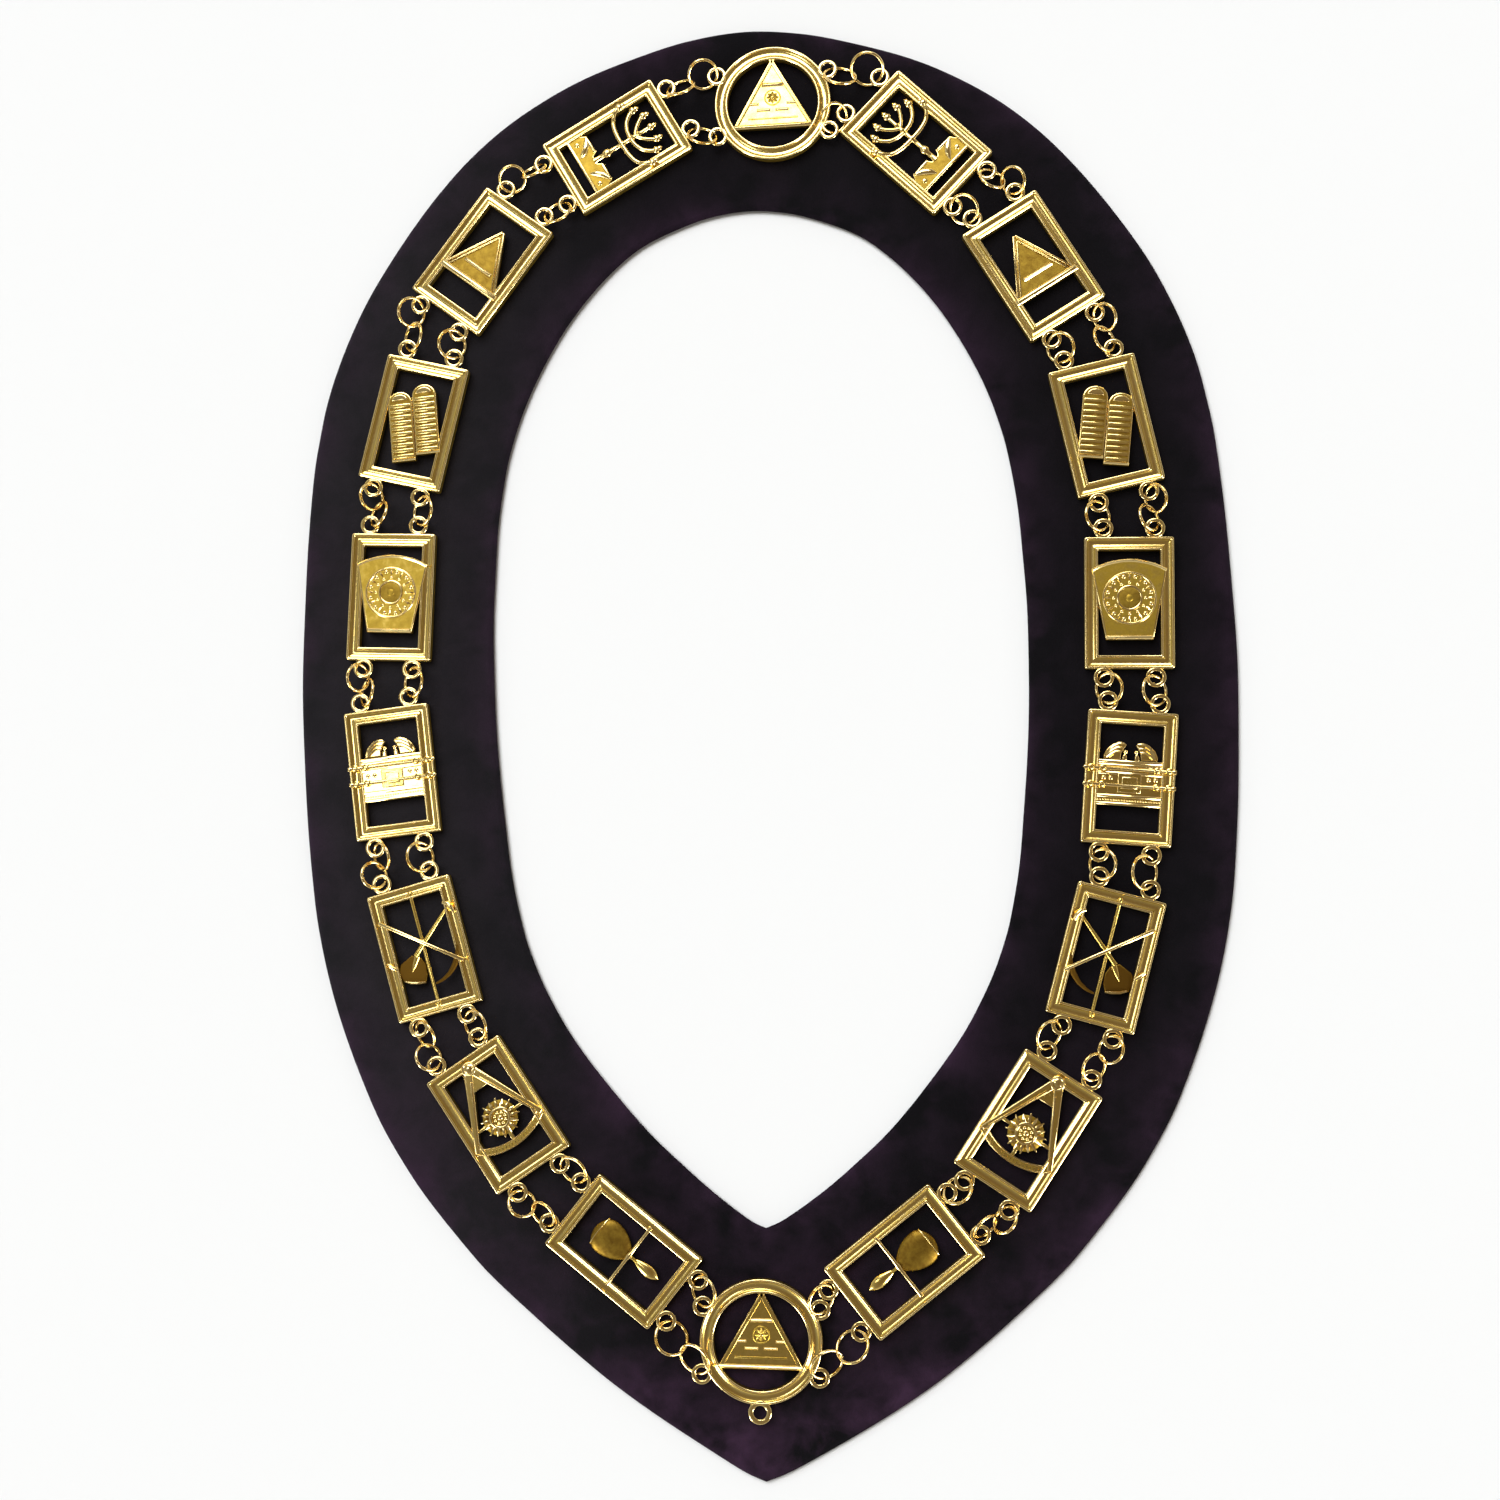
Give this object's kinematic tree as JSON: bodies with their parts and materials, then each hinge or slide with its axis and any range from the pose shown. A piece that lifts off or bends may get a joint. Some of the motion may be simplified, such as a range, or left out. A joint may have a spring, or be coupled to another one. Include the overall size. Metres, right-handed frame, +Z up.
{
  "type": "chain of office",
  "caption": "Ceremonial chain collar: pierced gilt plates and round medallions linked by jump rings on a pointed oval velvet collar that opens for the neck.",
  "frame": {"origin": "centre of the collar's outline, on the surface that it lies on", "axes": "+Y towards the nape, -Y towards the point on the chest, +Z up out of the face of the collar, +X to the right when it is seen from above with the nape at the top"},
  "size_m": [0.3212, 0.4964, 0.011],
  "materials": {
    "velvet": "dense short-pile velvet, almost black with a purple sheen",
    "gilt_metal": "polished cast gilt, antiqued in the recesses"
  },
  "bodies": {
    "root": {"velvet_collar": "velvet", "medallion_nape": "gilt_metal", "medallion_front": "gilt_metal", "plate_left_1_candlestick": "gilt_metal", "plate_right_1_candlestick": "gilt_metal", "plate_left_2_triangle": "gilt_metal", "plate_right_2_triangle": "gilt_metal", "plate_left_3_tablets": "gilt_metal", "plate_right_3_tablets": "gilt_metal", "plate_left_4_keystone": "gilt_metal", "plate_right_4_keystone": "gilt_metal", "plate_left_5_chest": "gilt_metal", "plate_right_5_chest": "gilt_metal", "plate_left_6_tools": "gilt_metal", "plate_right_6_tools": "gilt_metal", "plate_left_7_dividers": "gilt_metal", "plate_right_7_dividers": "gilt_metal", "plate_left_8_vessel": "gilt_metal", "plate_right_8_vessel": "gilt_metal", "ring_pair_left_1_2_outer": "gilt_metal", "ring_left_1_2_inner": "gilt_metal", "ring_pair_left_2_3_outer": "gilt_metal", "ring_left_2_3_inner": "gilt_metal", "ring_pair_left_3_4_outer": "gilt_metal", "ring_left_3_4_inner": "gilt_metal", "ring_pair_left_4_5_outer": "gilt_metal", "ring_left_4_5_inner": "gilt_metal", "ring_pair_left_5_6_outer": "gilt_metal", "ring_left_5_6_inner": "gilt_metal", "ring_pair_left_6_7_outer": "gilt_metal", "ring_left_6_7_inner": "gilt_metal", "ring_pair_left_7_8_outer": "gilt_metal", "ring_left_7_8_inner": "gilt_metal", "ring_right_1_2_inner": "gilt_metal", "ring_pair_right_1_2_outer": "gilt_metal", "ring_right_2_3_inner": "gilt_metal", "ring_pair_right_2_3_outer": "gilt_metal", "ring_right_3_4_inner": "gilt_metal", "ring_pair_right_3_4_outer": "gilt_metal", "ring_right_4_5_inner": "gilt_metal", "ring_right_4_5_outer": "gilt_metal", "ring_right_5_6_inner": "gilt_metal", "ring_right_5_6_outer": "gilt_metal", "ring_right_6_7_inner": "gilt_metal", "ring_pair_right_6_7_outer": "gilt_metal", "ring_right_7_8_inner": "gilt_metal", "ring_pair_right_7_8_outer": "gilt_metal", "ring_pair_top_left_outer": "gilt_metal", "ring_top_left_inner": "gilt_metal", "ring_pair_top_right_outer": "gilt_metal", "ring_top_right_inner": "gilt_metal", "ring_pair_bottom_left_outer": "gilt_metal", "ring_bottom_left_inner": "gilt_metal", "ring_pair_bottom_right_outer": "gilt_metal", "ring_bottom_right_inner": "gilt_metal"}
  },
  "joints": []
}
